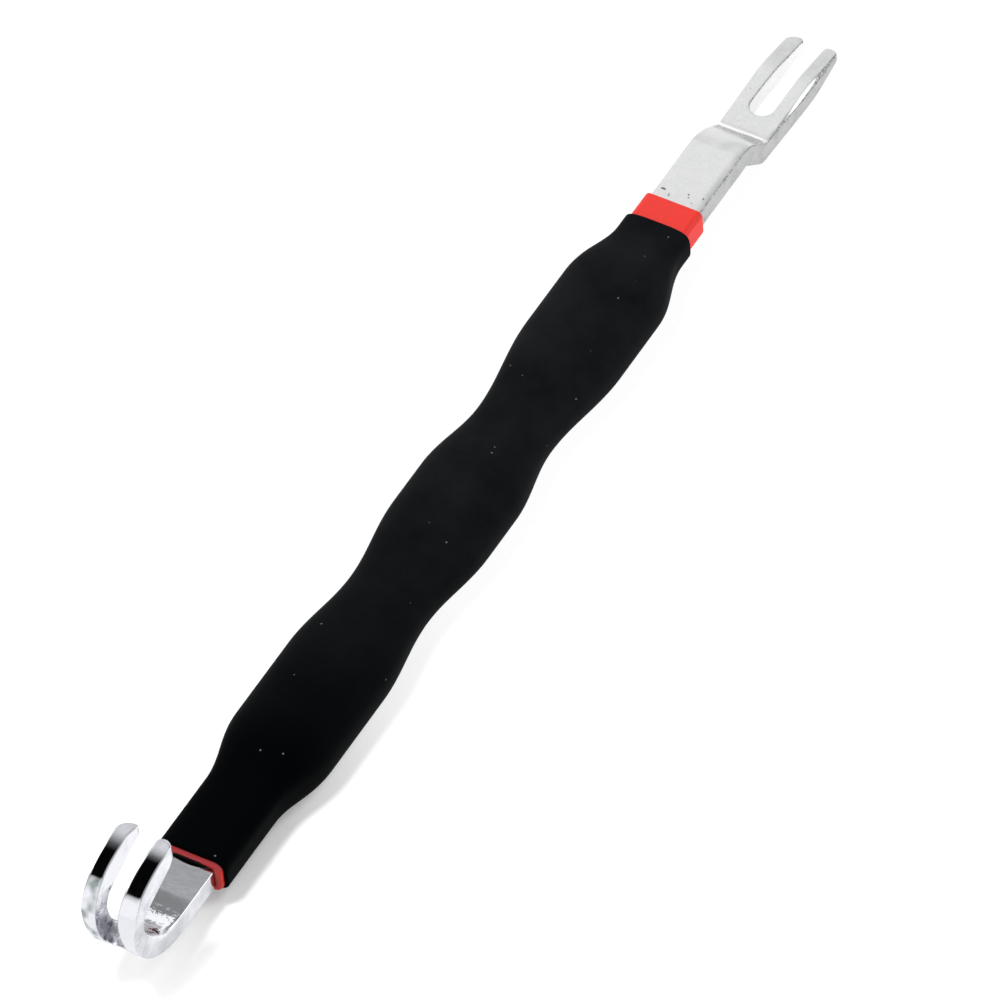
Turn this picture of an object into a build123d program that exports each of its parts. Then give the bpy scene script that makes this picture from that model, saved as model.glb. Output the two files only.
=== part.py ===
from build123d import *
import math
import os

# All sizes are in millimetres. The parts are drawn with x running from the hook end of
# the sleeve toward the fork, y across the bar and z up from the middle of the bar. At
# the end they move so that the origin lies on the ground under the middle of the tool.

# Flat steel bar
bar_width = 10.4
bar_thickness = 4.4
bar_edge_radius = 0.4
neck_length = 19.4

# Hook: the bar curls up and back over itself, and splits into two tines
hook_straight = 12.2
hook_bend_radius = 14.5
hook_crown_radius = 9.3
hook_crown_turn = 80.0
hook_inner_crown_radius = 3.4
hook_inner_crown_turn = 68.0
tine_length = 7.9
tine_heel_length = 7.2
tine_tip_thickness = 1.8
tine_tip_radius = 0.7
tine_corner_radius = 1.4
hook_width = 11.2
hook_waist_width = 9.8
hook_waist_rise = 4.35
hook_spread_rise = 3.6
hook_slot = 5.2
hook_slot_angle = 60.0

# Crank and fork: the bar steps down and ends in two flat prongs
crank_drop = 5.2
crank_run = 6.1
crank_crest_radius = 1.5
crank_crease_radius = 0.6
crank_heel_radius = 3.0
fork_length = 27.5
fork_web = 5.3
fork_width = 11.7
fork_widest_at = 17.0
fork_tip_width = 10.6
fork_slot = 5.0
fork_root_thickness = 4.0
fork_tip_thickness = 1.5
fork_tip_drop = 1.6
fork_taper_length = 10.0
fork_taper_radius = 25.0
fork_outer_corner_radius = 1.7
fork_inner_corner_radius = 0.7
fork_flat_width = 10.3

# Red inner sleeve
sleeve_length = 176.8
sleeve_wall = 0.85
sleeve_corner_radius = 1.2
sleeve_end_radius = 0.2

# Black outer grip: three swells with waists between them, drawn in at both ends
grip_start = 1.1
grip_end_gap = 6.2
hook_end_width = 14.5
hook_end_depth = 8.2
fork_end_width = 13.8
fork_end_depth = 7.6
swell_width = 20.6
swell_depth = 13.9
swell_places = (42.5, 94.8, 145.8)
swell_flats = (18.4, 10.0, 14.0)
waist_widths = (16.8, 16.1)
waist_depth = 11.0
waist_places = (70.8, 116.8)
hook_end_run = 16.7
fork_end_run = 3.3
end_squareness = 4.0
swell_squareness = 2.4
section_points = 24
sections_per_slope = 5
grip_edge_radius = 0.3

# Clearance between a layer and what it is moulded on
layer_gap = 0.04

half_thickness = bar_thickness / 2
crest_x = sleeve_length + neck_length
crease_x = crest_x + crank_run
fork_end_x = crease_x + fork_length
fork_top_z = half_thickness - crank_drop
fork_floor_z = fork_top_z - fork_root_thickness
hook_back_x = -hook_straight - hook_bend_radius
bend_center = (-hook_straight, hook_bend_radius - half_thickness)

# Room left round a cutter, and the distance within which two places count as one
drawing_margin = 30.0
same_place = 0.01


def rounded(face, corner, radius):
    """Round the one corner of a flat drawing that lies nearest to a point."""
    nearest = face.vertices().sort_by_distance(Vector(corner[0], corner[1], 0))[0]
    return fillet(nearest, radius)


def upright(face):
    """Stand a drawing made in x and z up in the plane through the bar's middle."""
    return Plane.XZ * face


def soften(body):
    """Round every edge of a piece of the bar, apart from those at the joint plane."""
    edges = [edge for edge in body.edges() if abs(edge.center().X) > same_place]
    return body.fillet(bar_edge_radius, edges)


def hook_profile():
    """Side view of the hook: an even bend, then a crown that tapers into the tines."""
    inner_radius = hook_bend_radius - bar_thickness
    under_run = Line((0, -half_thickness), (-hook_straight, -half_thickness))
    back = JernArc(under_run @ 1, (-1, 0), hook_bend_radius, -90)
    crown = JernArc(back @ 1, back % 1, hook_crown_radius, -hook_crown_turn)
    tip_top = crown @ 1 + (crown % 1) * tine_length
    top_run = Line((0, half_thickness), (-hook_straight, half_thickness))
    throat = JernArc(top_run @ 1, (-1, 0), inner_radius, -90)
    inner_crown = JernArc(throat @ 1, throat % 1, hook_inner_crown_radius, -hook_inner_crown_turn)
    heel = inner_crown @ 1 + (inner_crown % 1) * tine_heel_length
    down = (crown % 1).rotate(Axis.Z, -90)
    tip_bottom = tip_top + down * tine_tip_thickness
    outline = [under_run, back, crown, Line(crown @ 1, tip_top), Line(tip_top, tip_bottom)]
    outline += [Line(tip_bottom, heel), Line(heel, inner_crown @ 1), inner_crown, throat]
    outline += [top_run, Line(top_run @ 0, under_run @ 0)]
    face = make_face(outline)
    face = rounded(face, (tip_top.X, tip_top.Y), tine_tip_radius)
    face = rounded(face, (tip_bottom.X, tip_bottom.Y), tine_tip_radius)
    return face, tip_top


def hook_front():
    """Front view of the hook: as wide as the bar below, waisted, then wider at the tines."""
    waist_z = half_thickness + hook_waist_rise
    wide_z = bend_center[1] + hook_spread_rise
    top_z = bend_center[1] + hook_crown_radius + drawing_margin
    side = Spline(
        (bar_width / 2, half_thickness),
        (hook_waist_width / 2, waist_z),
        (hook_width / 2, wide_z),
        tangents=((0, 1), (0, 1)),
    )
    right = [Line((0, -drawing_margin), (bar_width / 2, -drawing_margin))]
    right += [Line((bar_width / 2, -drawing_margin), side @ 0), side]
    right += [Line(side @ 1, (hook_width / 2, top_z)), Line((hook_width / 2, top_z), (0, top_z))]
    right += [Line((0, top_z), (0, -drawing_margin))]
    half = make_face(right)
    return half + mirror(half, Plane.YZ)


def hook_slot_cutter():
    """The gap between the tines, ending in a round root low on the bend."""
    turn = math.radians(hook_slot_angle)
    outward = Vector(-math.sin(turn), -math.cos(turn))
    center = Vector(*bend_center)
    reach = hook_bend_radius + drawing_margin
    far = center + outward * reach
    corners = [center, far, (-reach * 2, far.Y), (-reach * 2, reach * 2)]
    corners += [(reach, reach * 2), (reach, center.Y), center]
    gap = extrude(upright(make_face(Polyline(*corners))), hook_slot / 2, both=True)
    root_plane = Plane(
        origin=(center.X, 0, center.Y),
        x_dir=(0, 1, 0),
        z_dir=(outward.X, 0, outward.Y),
    )
    root = extrude(root_plane * Circle(hook_slot / 2), reach)
    return gap + root


def hook():
    """Curled end of the bar with its two tines."""
    profile, tip_top = hook_profile()
    body = extrude(upright(profile), hook_width, both=True)
    front = extrude(Plane.YZ * hook_front(), -drawing_margin * 2, both=True)
    body = body & front
    plan = Pos(tip_top.X - drawing_margin / 2, 0) * Rectangle(drawing_margin, hook_width)
    ends = plan.vertices().sort_by(Axis.X)[-2:]
    plan = fillet(ends, tine_corner_radius)
    above = extrude(Pos(0, 0, bend_center[1]) * plan, drawing_margin)
    below_box = Pos(-drawing_margin, 0, 0) * Box(
        drawing_margin * 2, hook_width, bend_center[1] * 2
    )
    body = body & (above + below_box)
    return soften(body - hook_slot_cutter())


def fork_profile():
    """Side view of the neck, the crank and the fork."""
    slope = math.atan2(crank_drop, crank_run)
    under_crest_x = crest_x - bar_thickness * math.tan(slope / 2)
    heel_x = under_crest_x + (-half_thickness - fork_floor_z) / math.tan(slope)
    taper_x = fork_end_x - fork_taper_length
    tip_top_z = fork_top_z - fork_tip_drop
    corners = [(0, half_thickness), (crest_x, half_thickness), (crease_x, fork_top_z)]
    corners += [(taper_x, fork_top_z), (fork_end_x, tip_top_z)]
    corners += [(fork_end_x, tip_top_z - fork_tip_thickness), (taper_x, fork_floor_z)]
    corners += [(heel_x, fork_floor_z), (under_crest_x, -half_thickness)]
    corners += [(0, -half_thickness)]
    face = make_face(Polyline(*corners, close=True))
    face = rounded(face, (crest_x, half_thickness), crank_crest_radius)
    face = rounded(face, (crease_x, fork_top_z), crank_crease_radius)
    face = rounded(face, (under_crest_x, -half_thickness), crank_crease_radius)
    face = rounded(face, (heel_x, fork_floor_z), crank_heel_radius)
    face = rounded(face, (taper_x, fork_top_z), fork_taper_radius)
    face = rounded(face, (taper_x, fork_floor_z), fork_taper_radius)
    return face


def fork_plan():
    """Top view of the neck and the fork: two prongs that swell a little, with round tips."""
    widest_x = crease_x + fork_widest_at
    root = (crest_x, bar_width / 2)
    widest = (widest_x, fork_width / 2)
    tip = (fork_end_x, fork_tip_width / 2)
    swelling = Spline(root, widest, tangents=((1, 0), (1, 0)))
    narrowing = Spline(widest, tip, tangents=((1, 0), Vector(*tip) - Vector(*widest)))
    right = [Line((0, 0), (0, bar_width / 2)), Line((0, bar_width / 2), root)]
    right += [swelling, narrowing, Line(tip, (fork_end_x, 0)), Line((fork_end_x, 0), (0, 0))]
    half = make_face(right)
    plan = half + mirror(half, Plane.XZ)
    root_x = crease_x + fork_web
    slot_length = fork_end_x - root_x + drawing_margin
    slot_middle = (root_x + slot_length / 2, 0)
    plan -= Pos(*slot_middle) * SlotOverall(slot_length, fork_slot)
    tips = plan.vertices().sort_by(Axis.X)[-4:]
    tips = tips.sort_by(lambda corner: abs(corner.Y))
    outer_places = [corner.center() for corner in tips[2:]]
    plan = fillet(tips[:2], fork_inner_corner_radius)
    outer = [plan.vertices().sort_by_distance(place)[0] for place in outer_places]
    return fillet(outer, fork_outer_corner_radius)


def fork_bevel_cutter():
    """Slopes ground along the outer top edges of the prongs where they swell."""
    flat = (fork_flat_width / 2, fork_top_z)
    out = flat[0] + drawing_margin
    right = make_face(Polyline(flat, (out, fork_top_z - drawing_margin), (out, fork_top_z), flat))
    both_sides = right + mirror(right, Plane.YZ)
    return extrude(Plane.YZ.offset(crease_x) * both_sides, fork_length)


def fork():
    """Neck, crank and two-pronged fork."""
    body = extrude(upright(fork_profile()), fork_width, both=True)
    plan = Pos(0, 0, -drawing_margin) * fork_plan()
    body = body & extrude(plan, drawing_margin * 2)
    return soften(body) - fork_bevel_cutter()


def steel_bar():
    """One bar, forged with a hook at one end and a fork at the other."""
    return hook() + fork()


def red_inner_sleeve():
    """Thin red layer moulded round the bar."""
    width = bar_width + 2 * sleeve_wall
    depth = bar_thickness + 2 * sleeve_wall
    outside = Plane.YZ * RectangleRounded(width, depth, sleeve_corner_radius)
    body = extrude(outside, sleeve_length)
    body = fillet(body.faces().filter_by(Axis.X).edges(), sleeve_end_radius)
    hole = RectangleRounded(
        bar_width + 2 * layer_gap, bar_thickness + 2 * layer_gap, bar_edge_radius + layer_gap
    )
    return body - extrude(Plane.YZ * hole, sleeve_length)


def grip_knots():
    """Place, width, depth and squareness where the grip's outline levels out."""
    start = grip_start
    end = sleeve_length - grip_end_gap
    knots = [
        (start, hook_end_width, hook_end_depth, end_squareness),
        (start + hook_end_run, hook_end_width, hook_end_depth, end_squareness),
    ]
    for number, middle in enumerate(swell_places):
        half_flat = swell_flats[number] / 2
        for x in (middle - half_flat, middle + half_flat):
            knots.append((x, swell_width, swell_depth, swell_squareness))
        if number < len(waist_places):
            waist = (waist_places[number], waist_widths[number], waist_depth)
            knots.append((*waist, swell_squareness))
    knots += [
        (end - fork_end_run, fork_end_width, fork_end_depth, end_squareness),
        (end, fork_end_width, fork_end_depth, end_squareness),
    ]
    return knots


def grip_stations():
    """The knots, with sections eased in between them along each slope."""
    knots = grip_knots()
    stations = [knots[0]]
    for before, after in zip(knots, knots[1:]):
        for step in range(1, sections_per_slope + 1):
            part_way = step / sections_per_slope
            eased = (1 - math.cos(math.pi * part_way)) / 2
            x = before[0] + (after[0] - before[0]) * part_way
            sizes = [low + (high - low) * eased for low, high in zip(before[1:], after[1:])]
            stations.append((x, *sizes))
    return stations


def grip_section(x, width, depth, squareness):
    """A rounded section: an oval that nears a rectangle as its squareness grows."""
    points = []
    for step in range(section_points):
        angle = 2 * math.pi * step / section_points
        across = math.copysign(abs(math.cos(angle)) ** (2 / squareness), math.cos(angle))
        up = math.copysign(abs(math.sin(angle)) ** (2 / squareness), math.sin(angle))
        points.append((x, across * width / 2, up * depth / 2))
    return Wire([Edge.make_spline(points, periodic=True)])


def black_outer_grip():
    """Soft wavy grip moulded over the sleeve."""
    outside = Solid.make_loft([grip_section(*station) for station in grip_stations()])
    outside = outside.fillet(grip_edge_radius, outside.faces().filter_by(Axis.X).edges())
    width = bar_width + 2 * sleeve_wall + 2 * layer_gap
    depth = bar_thickness + 2 * sleeve_wall + 2 * layer_gap
    hole = Plane.YZ * RectangleRounded(width, depth, sleeve_corner_radius + layer_gap)
    return outside - extrude(hole, sleeve_length)


def set_down(part):
    """Move a part so that the origin lies on the ground under the tool's middle."""
    middle_x = (hook_back_x + fork_end_x) / 2
    ground_z = min(fork_floor_z, -swell_depth / 2)
    return Pos(-middle_x, 0, -ground_z) * part


parts = {
    "steel_bar": steel_bar(),
    "red_inner_sleeve": red_inner_sleeve(),
    "black_outer_grip": black_outer_grip(),
}

os.makedirs("parts", exist_ok=True)
for name, part in parts.items():
    export_step(set_down(part), f"parts/{name}.step")
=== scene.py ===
import bpy
import bmesh
import math
from functools import partial
from mathutils import Matrix, Vector, noise


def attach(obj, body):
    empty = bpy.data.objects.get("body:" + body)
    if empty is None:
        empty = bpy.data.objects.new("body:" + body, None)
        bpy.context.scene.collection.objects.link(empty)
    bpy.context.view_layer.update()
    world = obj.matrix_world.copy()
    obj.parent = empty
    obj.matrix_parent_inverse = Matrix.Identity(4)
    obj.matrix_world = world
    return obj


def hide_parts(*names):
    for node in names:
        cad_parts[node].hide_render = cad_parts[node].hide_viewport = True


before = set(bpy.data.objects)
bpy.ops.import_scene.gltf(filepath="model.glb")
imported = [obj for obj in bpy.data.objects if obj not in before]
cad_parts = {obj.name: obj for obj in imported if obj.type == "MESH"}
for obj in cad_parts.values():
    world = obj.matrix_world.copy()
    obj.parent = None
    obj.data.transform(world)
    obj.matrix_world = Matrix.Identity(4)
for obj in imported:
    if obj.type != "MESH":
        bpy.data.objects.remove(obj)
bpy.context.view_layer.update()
scene = bpy.context.scene

mm = 0.001
# the pieces are drawn from the sleeve's hook end, on the bar's middle, then shifted to the frame's origin
drawingShift = Vector((-101.55, 0.0, 7.0))


# Small helpers

def linear(hexColour):
    # sRGB hex to a linear colour
    channels = [int(hexColour[i:i + 2], 16) / 255 for i in (1, 3, 5)]
    return tuple(c / 12.92 if c <= 0.04045 else ((c + 0.055) / 1.055) ** 2.4 for c in channels) + (1.0,)


def addNode(tree, kind, inputs=None, **settings):
    # an input that is given another node takes the first of its outputs in use
    made = tree.nodes.new("ShaderNode" + kind)
    for name, value in settings.items():
        setattr(made, name, value)
    for socket, value in (inputs or {}).items():
        if isinstance(value, bpy.types.Node):
            value = next(output for output in value.outputs if output.enabled)
        if isinstance(value, bpy.types.NodeSocket):
            tree.links.new(value, made.inputs[socket])
        else:
            made.inputs[socket].default_value = value
    return made


def emptyTree(owner):
    # clears the nodes of a material or a world, and gives back the function that adds one
    owner.use_nodes = True
    owner.node_tree.nodes.clear()
    return partial(addNode, owner.node_tree)


def newMaterial(name):
    material = bpy.data.materials.new(name)
    return material, emptyTree(material)


def greyRamp(made, stops):
    # tones of grey at places from 0 to 1
    elements = made.color_ramp.elements
    elements.remove(elements[-1])
    elements[0].position = stops[0][0]
    for at, tone in stops[1:]:
        elements.new(at)
    for element, (at, tone) in zip(elements, stops):
        element.color = (tone, tone, tone, 1.0)


def clamped(share):
    return min(1.0, max(0.0, share))


def smoothStep(low, high, value):
    # eases from 0 at low to 1 at high, also where high is the smaller one
    part = clamped((value - low) / (high - low))
    return part * part * (3 - 2 * part)


def finishPiece(name, bm, material, node):
    # turns a drawing in mm into the piece that stands in for a node of the CAD
    bmesh.ops.recalc_face_normals(bm, faces=bm.faces[:])
    for face in bm.faces:
        face.smooth = True
    bmesh.ops.scale(bm, vec=(mm, mm, mm), verts=bm.verts[:])
    mesh = bpy.data.meshes.new(name)
    bm.to_mesh(mesh)
    bm.free()
    piece = bpy.data.objects.new(name, mesh)
    scene.collection.objects.link(piece)
    mesh.materials.append(material)
    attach(piece, "root")
    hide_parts(node)
    weighted = piece.modifiers.new("flatFaces", "WEIGHTED_NORMAL")
    weighted.keep_sharp = True
    print("made", name, len(mesh.polygons), "faces")


# Camera, a long lens well back

cameraSetup = {
    "aimedAt": (0.01025, 0.0, 0.007),
    "right": (0.4956, -0.8664, -0.0609),
    "up": (0.6708, 0.3373, 0.6605),
    "distance": 2.5,
    "lens": 492.23,
    "sensor": 36,
    "pixels": 1001,
    "principalPixel": (501.07, 448.03),
}


def makeCamera():
    setup = cameraSetup
    right = Vector(setup["right"]).normalized()
    up = Vector(setup["up"])
    up = (up - right * up.dot(right)).normalized()
    back = right.cross(up)
    focalPixels = setup["lens"] / setup["sensor"] * setup["pixels"]
    middle = setup["pixels"] / 2
    forward = (
        -back * focalPixels
        + right * (middle - setup["principalPixel"][0])
        + up * (setup["principalPixel"][1] - middle)
    ).normalized()
    right = forward.cross(up).normalized()
    up = right.cross(forward)
    data = bpy.data.cameras.new("camera")
    data.lens = setup["lens"]
    data.sensor_width = setup["sensor"]
    data.clip_end = 20
    camera = bpy.data.objects.new("camera", data)
    turn = Matrix((right, up, -forward)).transposed().to_4x4()
    place = Vector(setup["aimedAt"]) + back * setup["distance"]
    camera.matrix_world = Matrix.Translation(place) @ turn
    scene.collection.objects.link(camera)
    scene.camera = camera


# Floor, tent and lamps

studio = {
    "floorSize": 6.0,
    "floorDrop": 0.1,  # mm, clear of the fork's underside
    "floorColour": "#F4F4F4",
    # share of glowing plain white in the floor along the tool, painted light that thins its shadow toward the fork:
    # 0 and 1 lie floorShowHalf mm to either side of its middle
    "floorShow": [(0.08, 0.72), (0.17, 0.14), (0.23, 0.14), (0.27, 0.32), (0.34, 0.70), (0.43, 0.90), (0.50, 0.94)],
    "floorShowHalf": 150.0,
    "floorWhite": 1.02,
    # tent brightness from the hook's side, over the top, to the fork's side
    "tentTones": [(0.0, 1.2), (0.15, 1.2), (0.20, 0.6), (0.225, 0.002), (0.585, 0.002), (0.62, 0.12), (0.65, 0.50),
                  (0.69, 1.0), (0.735, 1.2), (0.765, 0.30), (0.80, 0.27), (0.94, 0.36), (0.98, 1.1), (1.0, 1.2)],
    # and across, from the near side to the far one
    "tentSides": [(0.0, 0.8), (0.17, 0.7), (0.23, 0.0), (0.72, 0.0), (0.79, 0.8), (1.0, 1.0)],
    # grey paper over the top, on the near side, which only mirrors show
    "tentTop": [(0.0, 0.4), (0.52, 0.4), (0.61, 0.0), (1.0, 0.0)],
    "lamps": [
        # name, place, aimed at, width, height, power
        ("keyLamp", (-0.30, 0.19, 1.13), (0.0, 0.0, 0.0), 0.20, 0.20, 9.2),
        ("sidePanel", (-0.15, 1.10, 0.95), (0.0, 0.0, 0.0), 0.9, 0.6, 5.0),
        ("forkPanel", (0.30, 0.13, 0.27), (0.10, 0.0, 0.0), 0.22, 0.22, 0.14),
        ("hookFill", (-0.05, -0.12, 0.25), (-0.125, 0.0, 0.0), 0.08, 0.08, 0.2),
        ("frontPanel", (0.60, -0.80, 0.42), (0.0, 0.0, 0.0), 0.5, 0.4, 1.4),
    ],
    "unmirrored": ("keyLamp", "hookFill"),
}


def makeStudio():
    bm = bmesh.new()
    bmesh.ops.create_grid(bm, x_segments=1, y_segments=1, size=studio["floorSize"] / 2)
    bmesh.ops.translate(bm, vec=(0, 0, -studio["floorDrop"] * mm), verts=bm.verts[:])
    mesh = bpy.data.meshes.new("studioFloor")
    bm.to_mesh(mesh)
    bm.free()
    floor = bpy.data.objects.new("studioFloor", mesh)
    scene.collection.objects.link(floor)
    material, add = newMaterial("studioPaper")
    rays = add("LightPath")
    seen = add("Math", {0: rays.outputs["Is Camera Ray"], 1: rays.outputs["Is Glossy Ray"]}, operation="MAXIMUM")
    seen = add("Math", {0: seen, 1: rays.outputs["Is Transmission Ray"]}, operation="MAXIMUM")
    # painted light: the floor's white glow changes along the tool, so its shadow shows near the hook and fades
    # toward the fork
    place = add("TexCoord")
    along = add("SeparateXYZ", {0: place.outputs["Object"]})
    half = studio["floorShowHalf"] * mm
    along = add("MapRange", {"Value": along.outputs["X"], "From Min": -half, "From Max": half})
    show = add("ValToRGB", {0: along})
    greyRamp(show, studio["floorShow"])
    share = add("Math", {0: seen, 1: show}, operation="MULTIPLY")
    paper = add("BsdfDiffuse", {"Color": linear(studio["floorColour"])})
    white = add("Emission", {"Color": (1, 1, 1, 1), "Strength": studio["floorWhite"]})
    both = add("MixShader", {0: share, 1: paper, 2: white})
    add("OutputMaterial", {"Surface": both})
    mesh.materials.append(material)

    scene.world = bpy.data.worlds.new("tent")
    add = emptyTree(scene.world)
    direction = add("TexCoord")
    axes = add("SeparateXYZ", {0: direction.outputs["Generated"]})
    along = add("MapRange", {"Value": axes.outputs["X"], "From Min": -1.0, "From Max": 1.0})
    tones = add("ValToRGB", {0: along})
    greyRamp(tones, studio["tentTones"])
    across = add("MapRange", {"Value": axes.outputs["Y"], "From Min": -1.0, "From Max": 1.0})
    sides = add("ValToRGB", {0: across})
    greyRamp(sides, studio["tentSides"])
    tones = add("Math", {0: tones, 1: sides}, operation="MAXIMUM")
    rays = add("LightPath")
    paper = add("ValToRGB", {0: across})
    greyRamp(paper, studio["tentTop"])
    paper = add("Math", {0: paper, 1: rays.outputs["Is Glossy Ray"]}, operation="MULTIPLY")
    tones = add("Math", {0: tones, 1: paper}, operation="MAXIMUM")
    strength = add("Mix", {0: rays.outputs["Is Camera Ray"], 2: tones, 3: 1.0}, data_type="FLOAT")
    shown = add("Background", {"Color": (1, 1, 1, 1), "Strength": strength})
    add("OutputWorld", {"Surface": shown})

    for name, place, target, width, height, power in studio["lamps"]:
        data = bpy.data.lights.new(name, "AREA")
        data.shape = "RECTANGLE"
        data.size = width
        data.size_y = height
        data.energy = power
        lamp = bpy.data.objects.new(name, data)
        lamp.location = place
        lamp.rotation_euler = (Vector(target) - Vector(place)).to_track_quat("-Z", "Y").to_euler()
        lamp.visible_glossy = name not in studio["unmirrored"]
        scene.collection.objects.link(lamp)
    scene.view_settings.view_transform = "Standard"
    print("studio ready")


# Materials

# lengths are in mm: From and To are places along the tool, Heights above the floor, Y across it
platedSteelFinish = {
    "mirrorColour": "#DFE0E5",
    "nearSideShadeColour": "#A6ACB1",
    "dulledColour": "#8F9896",
    "satinColour": "#C2C3C4",
    "satinLight": "#D2D2D2",
    "groundAndShadeColour": "#58595B",
    "stainColour": "#4A4A4B",
    "mouthShadeColour": "#0A0A0A",
    "rampShadeTone": 0.75,
    "nearSideShadeTone": 0.52,
    "noseHighlightTone": 0.35,
    "creaseHighlightTone": 0.7,
    "mirrorRoughness": 0.05,
    "satinRoughness": 0.42,
    "tipRoughness": 0.32,
    "blurRoughness": 0.34,
    "satinMetal": 0.6,
    "mottleSize": 3.0,
    "dentSize": 2.8,
    "tearSize": 0.7,
    "speckleSize": 0.35,
    "pitSize": 0.9,
    "dentDepth": 0.15,
    "tearDepth": 0.05,
    "mottleDepth": 0.05,
    "satinFrom": 60.0,
    "satinTo": 75.0,
    "tipFrom": -113.0,
    "tipTo": -119.5,
    "blurFrom": -116.0,
    "blurTo": -119.0,
    "dentsFrom": -109.0,
    "dentsTo": -115.5,
    "tearsFrom": -111.0,
    "tearsTo": -116.0,
    "pitsFrom": 84.0,
    "pitsTo": 76.5,
    "mouthShadeFrom": -101.4,
    "mouthShadeTo": -102.4,
    "mouthShadeHalfWidth": 4.8,
    "creaseAt": 100.9,
    "creaseHighlightHalfWidth": 0.34,
    "creaseHighlightCore": 0.14,
    "nearSideY": -4.0,
    "farTineY": (2.2, 3.4),
    "tipsHeight": 20.0,
    "blurHeights": (27.5, 23.5),
    "dentHeights": (22.5, 27.0),
    "tearHeights": (26.0, 22.5),
    "bevelMiddle": (114.4, -5.38, 3.9),
    "bevelReach": (6.4, 0.32, 0.9),
}


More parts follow.
